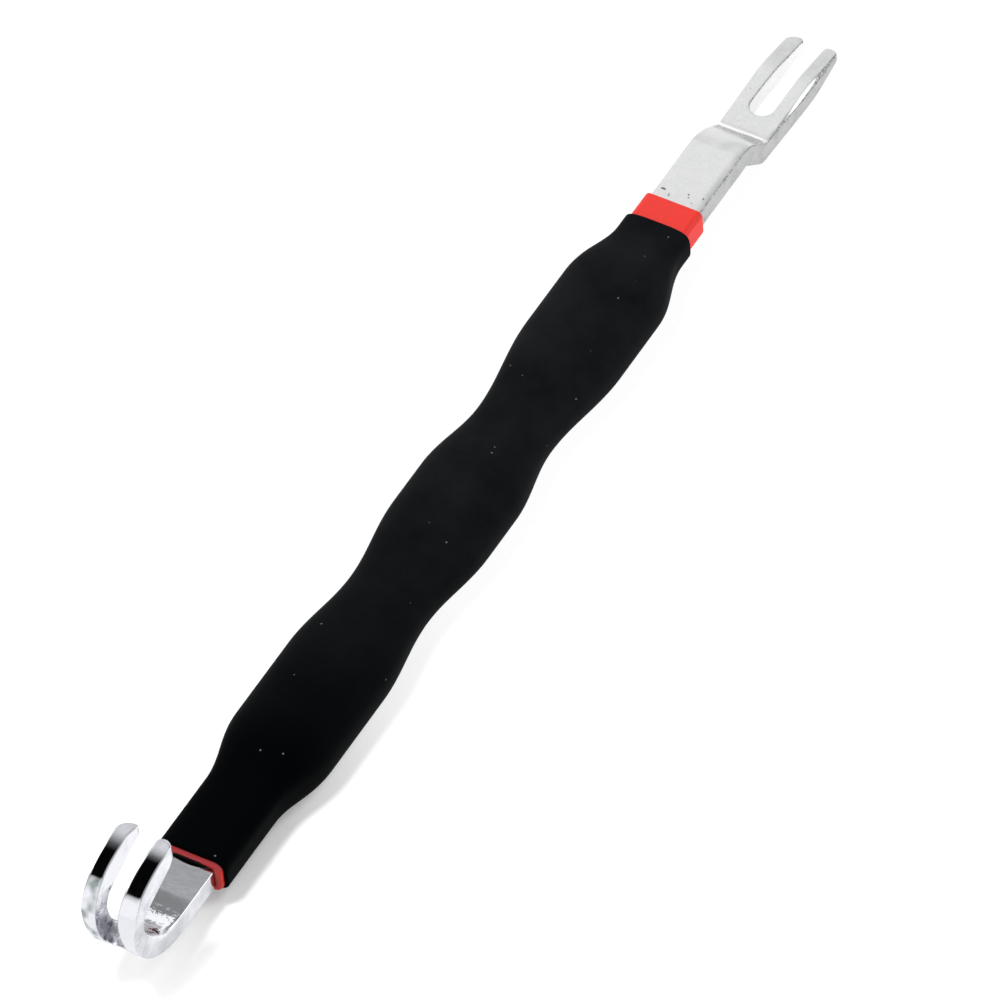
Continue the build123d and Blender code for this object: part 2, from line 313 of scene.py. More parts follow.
def makePlatedSteel():
    # nickel-chrome plate: a mirror on the rolled hook, satin where the fork was ground
    finish = platedSteelFinish
    material, add = newMaterial("platedSteel")
    place = add("TexCoord").outputs["Object"]
    x, y, z = add("SeparateXYZ", {0: place}).outputs
    satin = add("MapRange", {"Value": x, "From Min": finish["satinFrom"] * mm, "From Max": finish["satinTo"] * mm},
                interpolation_type="SMOOTHSTEP")
    mottle = add("TexNoise", {"Vector": place, "Scale": 1 / (finish["mottleSize"] * mm), "Detail": 4.0,
                 "Roughness": 0.6})
    # small dents from the rolling, over the bend and the crown
    dents = add("TexNoise", {"Vector": place, "Scale": 1 / (finish["dentSize"] * mm), "Detail": 1.2,
                "Roughness": 0.5})
    roughness = add("MapRange", {"Value": satin, "To Min": finish["mirrorRoughness"],
                    "To Max": finish["satinRoughness"]})
    worn = add("MapRange", {"Value": x, "From Min": finish["tipTo"] * mm, "From Max": finish["tipFrom"] * mm,
               "To Max": finish["tipRoughness"]})
    high = add("Math", {0: z, 1: finish["tipsHeight"] * mm}, operation="GREATER_THAN")
    worn = add("Math", {0: worn, 1: high}, operation="MULTIPLY")
    roughness = add("Math", {0: roughness, 1: worn}, operation="MAXIMUM")
    # and the polish is lost in patches low on the bend
    blurred = add("MapRange", {"Value": dents, "From Min": 0.42, "From Max": 0.56,
                  "To Max": finish["blurRoughness"]})
    bent = add("MapRange", {"Value": x, "From Min": finish["blurFrom"] * mm, "From Max": finish["blurTo"] * mm})
    top, bottom = finish["blurHeights"]
    belowCrown = add("MapRange", {"Value": z, "From Min": top * mm, "From Max": bottom * mm})
    bent = add("Math", {0: bent, 1: belowCrown}, operation="MULTIPLY")
    blurred = add("Math", {0: blurred, 1: bent}, operation="MULTIPLY")
    roughness = add("Math", {0: roughness, 1: blurred}, operation="MAXIMUM")
    spread = add("MapRange", {"Value": mottle, "From Min": 0.3, "From Max": 0.7, "To Min": 0.8, "To Max": 1.25})
    roughness = add("Math", {0: roughness, 1: spread}, operation="MULTIPLY")
    # the fork end: grey rims, partly ground steel and partly painted shade, painted shade on the crank's ramp and
    # in patches on the near side, pits where the plate gave way, and a speckle that is drawn coarser than the real
    # one, so that it shows
    speckle = add("TexNoise", {"Vector": place, "Scale": 1 / (finish["speckleSize"] * mm), "Detail": 3.0,
                  "Roughness": 0.7})
    # how far a face looks along the tool, across it and up
    lookX, lookY, lookZ = add("SeparateXYZ", {0: add("NewGeometry").outputs["Normal"]}).outputs
    # the rims that lean to the near side and up turn grey: partly ground steel, partly painted shade
    tilt = add("MapRange", {"Value": lookY, "From Min": -0.2, "From Max": -0.6}, interpolation_type="SMOOTHSTEP")
    upright = add("MapRange", {"Value": lookZ, "From Min": 0.05, "From Max": 0.4}, interpolation_type="SMOOTHSTEP")
    edge = add("Math", {0: tilt, 1: upright}, operation="MULTIPLY")
    # painted shade on the crank's ramp, which faces along the tool
    ramp = add("MapRange", {"Value": lookX, "From Min": 0.57, "From Max": 0.645, "To Max": finish["rampShadeTone"]},
               interpolation_type="SMOOTHSTEP")
    edge = add("Math", {0: edge, 1: ramp}, operation="MAXIMUM")
    # painted highlight: the long bevel on the near prong is painted white, and the grey is kept off it
    bevelSpot = add("VectorMath", {0: place, 1: Vector(finish["bevelMiddle"]) * mm}, operation="SUBTRACT")
    bevelSpot = add("VectorMath", {0: bevelSpot, 1: Vector(1 / reach for reach in finish["bevelReach"]) / mm},
                    operation="MULTIPLY")
    bevelReach = add("VectorMath", {0: bevelSpot}, operation="LENGTH")
    bevel = add("MapRange", {"Value": bevelReach, "From Min": 0.7, "From Max": 1.05})
    # painted shade on the near side, broken into patches: grey on the satin part, darker on the mirror
    near = add("MapRange", {"Value": lookY, "From Min": -0.8, "From Max": -0.95, "To Max": finish["nearSideShadeTone"]})
    outer = add("Math", {0: y, 1: finish["nearSideY"] * mm}, operation="LESS_THAN")
    near = add("Math", {0: near, 1: outer}, operation="MULTIPLY")
    patches = add("MapRange", {"Value": mottle, "From Min": 0.4, "From Max": 0.6, "To Min": 0.35, "To Max": 1.0})
    near = add("Math", {0: near, 1: patches}, operation="MULTIPLY")
    # painted shade: the lower rim is grey too, and the flat underside isn't
    under = add("MapRange", {"Value": lookZ, "From Min": -0.15, "From Max": -0.5})
    rimOnly = add("MapRange", {"Value": lookZ, "From Min": -0.97, "From Max": -0.85})
    under = add("Math", {0: under, 1: rimOnly}, operation="MULTIPLY")
    edge = add("Math", {0: edge, 1: under}, operation="MAXIMUM")
    groundAndShade = add("Math", {0: edge, 1: near}, operation="MAXIMUM")
    broken = add("MapRange", {"Value": speckle, "From Min": 0.38, "From Max": 0.62, "To Min": 0.1, "To Max": 1.0})
    groundAndShade = add("Math", {0: groundAndShade, 1: broken}, operation="MULTIPLY")
    groundAndShade = add("Math", {0: groundAndShade, 1: bevel}, operation="MULTIPLY")
    cloud = add("Math", {0: mottle, 1: speckle}, operation="ADD")
    cloud = add("MapRange", {"Value": cloud, "From Min": 0.8, "From Max": 1.2})
    plain = add("Mix", {0: cloud, 6: linear(finish["satinColour"]), 7: linear(finish["satinLight"])},
                data_type="RGBA")
    # painted highlights: the slot's walls and the crease at the crank's foot are painted toward white
    walls = add("MapRange", {"Value": lookY, "From Min": -0.6, "From Max": -0.9})
    inner = add("Math", {0: walls, 1: outer}, operation="SUBTRACT", use_clamp=True)
    creaseHighlight = add("Math", {0: x, 1: finish["creaseAt"] * mm}, operation="SUBTRACT")
    creaseHighlight = add("Math", {0: creaseHighlight}, operation="ABSOLUTE")
    creaseHighlight = add("MapRange", {"Value": creaseHighlight, "From Min": finish["creaseHighlightHalfWidth"] * mm,
                 "From Max": finish["creaseHighlightCore"] * mm, "To Max": finish["creaseHighlightTone"]})
    creaseHighlight = add("Math", {0: creaseHighlight, 1: upright}, operation="MULTIPLY")
    paintedHighlight = add("Math", {0: 1.0, 1: bevel}, operation="SUBTRACT")
    paintedHighlight = add("Math", {0: paintedHighlight, 1: creaseHighlight}, operation="MAXIMUM")
    # painted highlight: the ground nose of the crank is painted lighter than the neck
    nose = add("MapRange", {"Value": lookX, "From Min": 0.12, "From Max": 0.38, "To Max": finish["noseHighlightTone"]})
    paintedHighlight = add("Math", {0: paintedHighlight, 1: nose}, operation="MAXIMUM")
    paintedHighlight = add("Math", {0: paintedHighlight, 1: inner}, operation="MAXIMUM")
    plain = add("Mix", {0: paintedHighlight, 6: plain, 7: (1.0, 1.0, 1.0, 1.0)}, data_type="RGBA")
    satinColour = add("Mix", {0: groundAndShade, 6: plain, 7: linear(finish["groundAndShadeColour"])}, data_type="RGBA")
    pits = add("TexNoise", {"Vector": place, "Scale": 1 / (finish["pitSize"] * mm), "Detail": 1.0})
    toCollar = add("MapRange", {"Value": x, "From Min": finish["pitsTo"] * mm, "From Max": finish["pitsFrom"] * mm,
                   "To Min": 0.645, "To Max": 0.80})
    pits = add("Math", {0: pits, 1: toCollar}, operation="SUBTRACT")
    pits = add("MapRange", {"Value": pits, "From Max": 0.04})
    satinColour = add("Mix", {0: pits, 6: satinColour, 7: linear(finish["stainColour"])}, data_type="RGBA")
    # the plate on the far tine's crown has dulled in patches
    crown = add("MapRange", {"Value": lookX, "From Min": -0.35, "From Max": -0.6}, interpolation_type="SMOOTHSTEP")
    start, end = finish["farTineY"]
    farTine = add("MapRange", {"Value": y, "From Min": start * mm, "From Max": end * mm})
    dulled = add("MapRange", {"Value": dents, "From Min": 0.38, "From Max": 0.6})
    for share in (crown, farTine):
        dulled = add("Math", {0: dulled, 1: share}, operation="MULTIPLY")
    mirror = add("Mix", {0: near, 6: linear(finish["mirrorColour"]), 7: linear(finish["nearSideShadeColour"])},
                 data_type="RGBA")
    mirror = add("Mix", {0: dulled, 6: mirror, 7: linear(finish["dulledColour"])}, data_type="RGBA")
    colour = add("Mix", {0: satin, 6: mirror, 7: satinColour}, data_type="RGBA")
    # a crescent of painted shade on the bar where it leaves the sleeve at the hook's end
    across = add("Math", {0: y, 1: finish["mouthShadeHalfWidth"] * mm}, operation="DIVIDE")
    across = add("Math", {0: across, 1: across}, operation="MULTIPLY")
    reach = add("MapRange", {"Value": across, "To Min": finish["mouthShadeTo"] * mm, "To Max": finish["mouthShadeFrom"] * mm})
    mouthShade = add("Math", {0: x, 1: reach}, operation="SUBTRACT")
    mouthShade = add("MapRange", {"Value": mouthShade, "From Max": 0.2 * mm})
    hookHalf = add("Math", {0: x, 1: 0.0}, operation="LESS_THAN")
    for share in (hookHalf, upright):
        mouthShade = add("Math", {0: mouthShade, 1: share}, operation="MULTIPLY")
    colour = add("Mix", {0: mouthShade, 6: colour, 7: linear(finish["mouthShadeColour"])}, data_type="RGBA")
    roughness = add("Math", {0: roughness, 1: mouthShade}, operation="MAXIMUM")
    metal = add("MapRange", {"Value": satin, "To Min": 1.0, "To Max": finish["satinMetal"]})
    # the dents grow round the bend, fade below the crown, and are deeper on the far side
    rolled = add("MapRange", {"Value": x, "From Min": finish["dentsTo"] * mm, "From Max": finish["dentsFrom"] * mm,
                 "To Min": finish["dentDepth"], "To Max": 0.0}, interpolation_type="SMOOTHSTEP")
    bottom, top = finish["dentHeights"]
    low = add("MapRange", {"Value": z, "From Min": bottom * mm, "From Max": top * mm, "To Min": 1.0, "To Max": 0.0},
              interpolation_type="SMOOTHSTEP")
    rolled = add("Math", {0: rolled, 1: low}, operation="MULTIPLY")
    farSide = add("MapRange", {"Value": y, "From Max": 3.0 * mm, "To Min": 1.0, "To Max": 2.0})
    rolled = add("Math", {0: rolled, 1: farSide}, operation="MULTIPLY")
    dents = add("Math", {0: dents, 1: rolled}, operation="MULTIPLY")
    bump = add("Bump", {"Height": dents, "Strength": 1.0, "Distance": mm})
    bump = add("Bump", {"Height": mottle, "Strength": 0.15, "Distance": finish["mottleDepth"] * mm, "Normal": bump})
    # fine tears in the plate low on the bend, which break the edges of what it mirrors
    tears = add("TexNoise", {"Vector": place, "Scale": 1 / (finish["tearSize"] * mm), "Detail": 2.0})
    bendOnly = add("MapRange", {"Value": x, "From Min": finish["tearsFrom"] * mm,
                   "From Max": finish["tearsTo"] * mm})
    top, bottom = finish["tearHeights"]
    lowOnly = add("MapRange", {"Value": z, "From Min": top * mm, "From Max": bottom * mm})
    for share in (bendOnly, lowOnly):
        tears = add("Math", {0: tears, 1: share}, operation="MULTIPLY")
    bump = add("Bump", {"Height": tears, "Strength": 1.0, "Distance": finish["tearDepth"] * mm, "Normal": bump})
    shader = add("BsdfPrincipled", {"Base Color": colour, "Metallic": metal, "Roughness": roughness,
                 "Normal": bump})
    add("OutputMaterial", {"Surface": shader})
    return material


redVinylFinish = {
    "colour": "#EA1E0E",
    "topShadeColour": "#BE2E27",
    "lipTopShadeColour": "#7E2E33",
    "lipShadeColour": "#AC1A0C",
    "mouthShadeColour": "#0A0809",
    "roughness": 0.38,
    "mouthShadeRoughness": 0.95,
    "gloss": 0.22,
    "grainSize": 0.6,
    "grainDepth": 0.05,
    "middleZ": 7.0,
    "barHalfDepth": 2.2,
    "mouthShadeHeight": 1.0,
    "mouthShadeHalfWidth": 5.1,
}


def makeRedVinyl():
    # dip-moulded PVC: saturated with a soft gloss, with painted shade on its top, round its lip and in its mouth
    # where the bar comes out
    finish = redVinylFinish
    material, add = newMaterial("redVinyl")
    place = add("TexCoord").outputs["Object"]
    x, y, z = add("SeparateXYZ", {0: place}).outputs
    # the moulded grain, a little coarser than the real one so that it shows
    grain = add("TexNoise", {"Vector": place, "Scale": 1 / (finish["grainSize"] * mm), "Detail": 3.0})
    bump = add("Bump", {"Height": grain, "Strength": 0.12, "Distance": finish["grainDepth"] * mm})
    upward = add("SeparateXYZ", {0: add("NewGeometry").outputs["Normal"]}).outputs["Z"]
    # painted shade: upward faces get a darker, paler red, and a dark maroon on the lip in the mouth
    topShade = add("MapRange", {"Value": upward, "From Min": 0.1, "From Max": 0.65})
    patchy = add("MapRange", {"Value": grain, "From Min": 0.35, "From Max": 0.65, "To Min": 0.7, "To Max": 1.0})
    topShade = add("Math", {0: topShade, 1: patchy}, operation="MULTIPLY")
    inMouth = add("Math", {0: x, 1: 0.0}, operation="LESS_THAN")
    top = add("Mix", {0: inMouth, 6: linear(finish["topShadeColour"]), 7: linear(finish["lipTopShadeColour"])},
              data_type="RGBA")
    # painted shade: the lip at the hook's end is darker all round
    side = add("Mix", {0: inMouth, 6: linear(finish["colour"]), 7: linear(finish["lipShadeColour"])}, data_type="RGBA")
    colour = add("Mix", {0: topShade, 6: side, 7: top}, data_type="RGBA")
    # the crescent of painted shade in the mouth: highest over the middle of the bar, and gone at its edges
    across = add("Math", {0: y, 1: finish["mouthShadeHalfWidth"] * mm}, operation="DIVIDE")
    across = add("Math", {0: across, 1: across}, operation="MULTIPLY")
    reach = add("MapRange", {"Value": across, "To Min": (finish["barHalfDepth"] + finish["mouthShadeHeight"]) * mm,
                "To Max": finish["barHalfDepth"] * mm})
    height = add("Math", {0: z, 1: finish["middleZ"] * mm}, operation="SUBTRACT")
    height = add("Math", {0: height}, operation="ABSOLUTE")
    above = add("Math", {0: height, 1: reach}, operation="SUBTRACT")
    beside = add("Math", {0: y}, operation="ABSOLUTE")
    beside = add("Math", {0: beside, 1: finish["mouthShadeHalfWidth"] * mm}, operation="SUBTRACT")
    above = add("Math", {0: above, 1: beside}, operation="MAXIMUM")
    above = add("MapRange", {"Value": above, "From Max": 0.1 * mm})
    mouthShade = add("MapRange", {"Value": above, "To Min": 1.0, "To Max": 0.0})
    mouthShade = add("Math", {0: mouthShade, 1: inMouth}, operation="MULTIPLY")
    notTop = add("Math", {0: upward, 1: 0.55}, operation="LESS_THAN")
    mouthShade = add("Math", {0: mouthShade, 1: notTop}, operation="MULTIPLY")
    colour = add("Mix", {0: mouthShade, 6: colour, 7: linear(finish["mouthShadeColour"])}, data_type="RGBA")
    matt = add("MapRange", {"Value": mouthShade, "To Min": finish["roughness"], "To Max": finish["mouthShadeRoughness"]})
    shader = add("BsdfPrincipled", {"Base Color": colour, "Roughness": matt, "Specular IOR Level": finish["gloss"],
                 "Normal": bump})
    add("OutputMaterial", {"Surface": shader})
    return material


blackRubberFinish = {
    "colour": "#010203",
    "rubbedAndLitColour": "#141618",
    "dustColour": "#505254",
    "roughness": 0.55,
    "gloss": 0.012,
    "grainSize": 0.5,
    "grainDepth": 0.05,
    "dustSpacing": 4.2,
    "rubbedSize": 18.0,
    "forkEndLightFrom": -75.0,
    "forkEndLightTo": -10.0,
}


def makeBlackRubber():
    # thermoplastic rubber: near black and matte, with a fine moulded grain that is drawn coarse enough to show
    finish = blackRubberFinish
    material, add = newMaterial("blackRubber")
    place = add("TexCoord").outputs["Object"]
    grain = add("TexNoise", {"Vector": place, "Scale": 1 / (finish["grainSize"] * mm), "Detail": 3.0})
    bump = add("Bump", {"Height": grain, "Strength": 0.2, "Distance": finish["grainDepth"] * mm})
    along = add("SeparateXYZ", {0: place}).outputs["X"]
    # a few specks of dust, and faint rubbed patches
    specks = add("TexVoronoi", {"Vector": place, "Scale": 1 / (finish["dustSpacing"] * mm)})
    dust = add("MapRange", {"Value": specks.outputs["Distance"], "From Min": 0.055, "From Max": 0.035})
    worn = add("TexNoise", {"Vector": place, "Scale": 1 / (finish["rubbedSize"] * mm), "Detail": 7.0,
               "Roughness": 0.65})
    rubbedAndLit = add("MapRange", {"Value": worn, "From Min": 0.3, "From Max": 0.7, "To Min": 0.3, "To Max": 1.0})
    # painted light: the rubber is made lighter from the middle to the fork's end, where more light falls on it
    forkEndLight = add("MapRange", {"Value": along, "From Min": finish["forkEndLightFrom"] * mm,
                  "From Max": finish["forkEndLightTo"] * mm})
    rubbedAndLit = add("Math", {0: rubbedAndLit, 1: forkEndLight}, operation="MULTIPLY")
    rubbedAndLit = add("Math", {0: rubbedAndLit, 1: dust}, operation="MAXIMUM")
    colour = add("Mix", {0: rubbedAndLit, 6: linear(finish["colour"]), 7: linear(finish["rubbedAndLitColour"])},
                 data_type="RGBA")
    colour = add("Mix", {0: dust, 6: colour, 7: linear(finish["dustColour"])}, data_type="RGBA")
    shader = add("BsdfPrincipled", {"Base Color": colour, "Roughness": finish["roughness"],
                 "Specular IOR Level": finish["gloss"], "Normal": bump})
    add("OutputMaterial", {"Surface": shader})
    return material


# The steel bar: a flat blank, slotted at both ends, then curled into the hook and cranked into the fork

# lengths in mm, turns in degrees
steelBar = {
    "halfWidth": 5.2,
    "halfThickness": 2.2,
    "rimRound": 0.28,
    "neckEnd": 196.2,
    "hookStraight": 12.2,
    "bendRadius": 14.5,
    # of the near and the far tine: slope where the crown ends and at the tip, and where the tip lies
    "crownTurns": (66.0, 75.0),
    "tipTurns": (90.0, 88.0),
    "tineReach": ((15.4, 10.2), (15.465, 10.6)),
    "innerCrownRadius": 3.4,
    "innerCrownTurn": 68.0,
    "crownRun": 8.6,
    "tineRun": 7.9,
    "heelRun": 7.2,
    "heelAt": 0.72,
    "tipThickness": 1.8,
    "tipFlare": 0.7,
    "tineWidening": 0.7,
    "wideningFrom": -27.0,
    "wideningTo": -35.0,
    "bendDressing": 1.1,
    "hookHalfWidth": 5.6,
    "waistHalfWidth": 4.9,
    "waistHeight": 6.55,
    "spreadHeight": 15.9,
    "hookSlot": 2.6,
    "hookSlotTurn": 60.0,
    "crankDrop": 5.2,
    "crankRun": 6.1,
    "noseRun": 9.7,
    "noseShare": 0.48,
    "noseCurve": 1.6,
    "crestBlend": 0.5,
    "creaseBlend": 0.25,
    "creaseRidge": 0.15,
    "underRound": 0.6,
    "heelRound": 3.0,
    "forkRun": 27.5,
    "forkRootGap": 7.8,
    "forkSlot": 2.5,
    "forkThickness": 4.0,
    "forkTaper": 10.0,
    "forkTipDrop": 1.6,
    "forkTipThickness": 1.5,
    "forkTipBend": 25.0,
    "forkWidestAt": 17.0,
    "forkHalfWidth": 5.85,
    "forkTipHalfWidth": 5.3,
    "forkFlat": 5.15,
    "prongFlare": 0.6,
    "prongFlareRun": 19.0,
    "roughFrom": 176.0,
    "edgeWave": 0.5,
    "edgeDrop": 0.3,
    "forkTipRounds": {1: (1.0, 2.0), -1: (0.9, 1.3)},
    "tineTipRounds": {1: (0.7, 1.9), -1: (1.0, 1.4)},
}
creaseX = steelBar["neckEnd"] + steelBar["crankRun"]
forkEndX = creaseX + steelBar["forkRun"]
forkRootX = creaseX + steelBar["forkRootGap"]
bendRun = (steelBar["bendRadius"] - steelBar["halfThickness"]) * math.pi / 2
hookEndX = -steelBar["hookStraight"] - bendRun - steelBar["crownRun"] - steelBar["tineRun"]
hookRootX = -steelBar["hookStraight"] - bendRun * steelBar["hookSlotTurn"] / 90
fanTurns = (0, 9, 18, 27, 36, 45, 49.5, 54, 63, 72, 81, 90)
fanTurns = fanTurns + tuple(180 - turn for turn in reversed(fanTurns[:-1]))
ringShares = (0.0, 0.12, 0.3, 0.5, 0.7, 0.82, 0.91, 1.0)
lowerFace = -100.0  # where the blank's lower face waits until shapeBar gives it its place


def spaced(start, end, step):
    count = max(1, round(abs(end - start) / step))
    return [start + (end - start) * i / count for i in range(count)]


def quarterArc(radius):
    # a quarter round from an end face to a side, as pairs of run along the piece and inset
    turns = [math.radians(turn) for turn in range(0, 91, 15)]
    return [(radius * (1 - math.sin(turn)), radius * (1 - math.cos(turn))) for turn in turns]


def extrudeLoop(bm, edges):
    # pulls a wall out of a loop of edges: gives the new loop, and the old vertex behind each new one
    old = {vert for edge in edges for vert in edge.verts}
    made = bmesh.ops.extrude_edge_only(bm, edges=edges)["geom"]
    fresh = {item for item in made if isinstance(item, bmesh.types.BMVert)}
    loop = [item for item in made if isinstance(item, bmesh.types.BMEdge) and fresh.issuperset(item.verts)]
    return loop, {vert: next(edge.other_vert(vert) for edge in vert.link_edges if edge.other_vert(vert) in old)
                  for vert in fresh}


def lattice(bm, columns, rows, placeOf):
    # a grid whose points are put where placeOf says
    made = bmesh.ops.create_grid(bm, x_segments=columns, y_segments=rows, size=1.0)
    for vert in made["verts"]:
        column = round((vert.co.x + 1) / 2 * columns)
        row = round((vert.co.y + 1) / 2 * rows)
        vert.co = placeOf(column, row)


def tipPlaces(tipX, rootX, tipRound, step):
    # places from a prong's tip to its slot's root, close together where the tip is round
    direction = 1 if rootX > tipX else -1
    places = [tipX + direction * tipRound * (1 - math.cos(math.radians(turn))) for turn in range(0, 90, 10)]
    return places + spaced(tipX + direction * tipRound, rootX, step)


def cornerCut(toTip, radius):
    # how far a rounded corner draws a side in, at a distance from the tip
    return radius - math.sqrt(max(0.0, radius ** 2 - max(0.0, radius - toTip) ** 2))


def prongBand(bm, rootX, tipX, slotHalf, places, rounds):
    # one U-shaped band of faces round a slot: up one prong, round the root, and down the other
    rim = steelBar["rimRound"]
    slotHalf = slotHalf + rim
    half = steelBar["halfWidth"] - rim
    inward = 1 if rootX > tipX else -1
    sides = {}
    for side in (1, -1):
        inner, outer = (radius - rim for radius in rounds[side])
        sides[side] = [((x, side * (slotHalf + cornerCut(abs(x - tipX), inner))),
                        (x, side * (half - cornerCut(abs(x - tipX), outer)))) for x in places]
    fan = []
    for turn in fanTurns:
        angle = math.radians(turn)
        reach = half / max(abs(math.cos(angle)), abs(math.sin(angle)))
        fan.append(((rootX + inward * slotHalf * math.sin(angle), slotHalf * math.cos(angle)),
                    (rootX + inward * reach * math.sin(angle), reach * math.cos(angle))))
    path = sides[1] + fan + sides[-1][::-1]

    def placeOf(column, row):
        slotPoint, edgePoint = (Vector(point) for point in path[column])
        spot = slotPoint.lerp(edgePoint, ringShares[row])
        return Vector((spot.x, spot.y, 0.0))

    lattice(bm, len(path) - 1, len(ringShares) - 1, placeOf)


def filletHeight(x, corners):
    # height at x of a line through corners (x, height, radius), each rounded by its radius
    for i in range(len(corners) - 1):
        x0, z0, _ = corners[i]
        x1, z1, _ = corners[i + 1]
        if x <= x1 or i == len(corners) - 2:
            height = z0 + (z1 - z0) * (x - x0) / (x1 - x0)
            break
    for i in range(1, len(corners) - 1):
        (xa, za, _), (xc, zc, radius), (xb, zb, _) = corners[i - 1:i + 2]
        before = math.atan2(zc - za, xc - xa)
        after = math.atan2(zb - zc, xb - xc)
        reach = radius * math.tan(abs(after - before) / 2)
        if xc - reach * math.cos(before) < x < xc + reach * math.cos(after):
            side = 1 if after > before else -1
            centreX = xc - reach * math.cos(before) - side * radius * math.sin(before)
            centreZ = zc - reach * math.sin(before) + side * radius * math.cos(before)
            return centreZ - side * math.sqrt(max(0.0, radius ** 2 - (x - centreX) ** 2))
    return height


def softMax(a, b, blend):
    # the larger of two heights, with a rounded meeting
    share = clamped(0.5 + 0.5 * (a - b) / blend)
    return b + (a - b) * share + blend * share * (1 - share)


def forkHeights(x, y):
    # top and underside of the neck, the crank and the fork
    bar = steelBar
    half = bar["halfThickness"]
    top = half - bar["crankDrop"]
    floor = top - bar["forkThickness"]
    slope = math.atan2(bar["crankDrop"], bar["crankRun"])
    underX = bar["neckEnd"] - 2 * half * math.tan(slope / 2)
    heelX = underX + (-half - floor) / math.tan(slope)
    taperX = forkEndX - bar["forkTaper"]
    tipTop = top - bar["forkTipDrop"]
    flat = filletHeight(x, [(0, top, 0), (taperX, top, bar["forkTipBend"]), (forkEndX, tipTop, 0)])
    flat += bar["creaseRidge"] * math.exp(-((x - creaseX - 0.55) / 0.3) ** 2)
    run = min(1.3, max(0.0, 1 - (creaseX - x) / bar["noseRun"]))
    share = bar["noseShare"] + (1 - bar["noseShare"]) * smoothStep(-bar["halfWidth"], 0.8, y)
    nose = half - bar["crankDrop"] * share * run ** bar["noseCurve"]
    ramp = top + (creaseX - x) * math.tan(slope)
    upper = -softMax(-nose, -ramp, bar["crestBlend"])
    upper = softMax(upper, flat, bar["creaseBlend"])
    lower = [(0, -half, 0), (underX, -half, bar["underRound"]), (heelX, floor, bar["heelRound"]),
             (taperX, floor, bar["forkTipBend"]), (forkEndX, tipTop - bar["forkTipThickness"], 0)]
    return upper, filletHeight(x, lower)


def hookPoint(x, y, side):
    # a point of the hook's side view: side is 0 inside the curl and 1 outside
    bar = steelBar
    half = bar["halfThickness"]
    inner = bar["bendRadius"] - 2 * half
    start = -bar["hookStraight"]
    centre = Vector((start, bar["bendRadius"] - half))
    radius = inner + 2 * half * side
    along = start - x
    if along <= bendRun:
        # rolled on its middle line, but round the slot's root on each layer's own, so that the root stays round
        middle = inner + half
        rootRun = bendRun * bar["hookSlotTurn"] / 90
        near = 1 - smoothStep(3.0, 8.0, abs(along - rootRun))
        local = middle + (radius - middle) * near
        turn = rootRun / middle + (along - rootRun) / local
        turn = min(math.pi / 2, turn)
        return centre + Vector((-math.sin(turn), -math.cos(turn))) * radius
    part = (along - bendRun) / bar["crownRun"]
    # the outer line: an even crown, then a tine that flattens toward its tip, set to end at tineReach
    share = smoothStep(-2.0, 2.0, y)
    pairs = (bar["crownTurns"], bar["tipTurns"]) + tuple(zip(*bar["tineReach"]))
    crownTurn, tipTurn, reachX, reachZ = (near + (far - near) * share for near, far in pairs)
    crownTurn, tipTurn = math.radians(crownTurn), math.radians(tipTurn)
    crownX, crownZ = 1 - math.cos(crownTurn), math.sin(crownTurn)
    tineX = (math.cos(crownTurn) - math.cos(tipTurn)) / (tipTurn - crownTurn)
    tineZ = (math.sin(tipTurn) - math.sin(crownTurn)) / (tipTurn - crownTurn)
    crossed = crownX * tineZ - crownZ * tineX
    crownRadius = (reachX * tineZ - reachZ * tineX) / crossed
    tineRadius = (crownX * reachZ - crownZ * reachX) / crossed / (tipTurn - crownTurn)
    outerStart = centre + Vector((-bar["bendRadius"], 0))
    outerTurn = crownTurn * min(part, 1)
    outer = outerStart + Vector((1 - math.cos(outerTurn), math.sin(outerTurn))) * crownRadius
    innerMid = centre + Vector((-inner + bar["innerCrownRadius"], 0))
    innerTurn = math.radians(bar["innerCrownTurn"]) * min(part, 1)
    inside = innerMid + Vector((-math.cos(innerTurn), math.sin(innerTurn))) * bar["innerCrownRadius"]
    if part > 1:
        run = (along - bendRun - bar["crownRun"]) / bar["tineRun"]
        tipTop = outerStart + Vector((reachX, reachZ))
        tipBottom = tipTop + Vector((math.cos(tipTurn), -math.sin(tipTurn))) * bar["tipThickness"]
        heel = inside + Vector((math.sin(innerTurn), math.cos(innerTurn))) * bar["heelRun"]
        turn = crownTurn + (tipTurn - crownTurn) * run
        outer += Vector((math.cos(crownTurn) - math.cos(turn), math.sin(turn) - math.sin(crownTurn))) * tineRadius
        if run <= bar["heelAt"]:
            inside = inside.lerp(heel, run / bar["heelAt"])
        else:
            inside = heel.lerp(tipBottom, (run - bar["heelAt"]) / (1 - bar["heelAt"]))
    return inside.lerp(outer, side)


def spreadAcross(y, slotHalf, halfWidth):
    # moves the outer edge of the blank out or in to a new half width, and leaves the slot where it is
    half = steelBar["halfWidth"]
    share = clamped((abs(y) - slotHalf) / (half - slotHalf))
    return math.copysign(abs(y) + (halfWidth - half) * share, y)


def sideShare(depth, thickness):
    # depths in the blank count from its upper face, or from its lower one
    return -depth / thickness if depth > lowerFace / 2 else 1 - (depth - lowerFace) / thickness


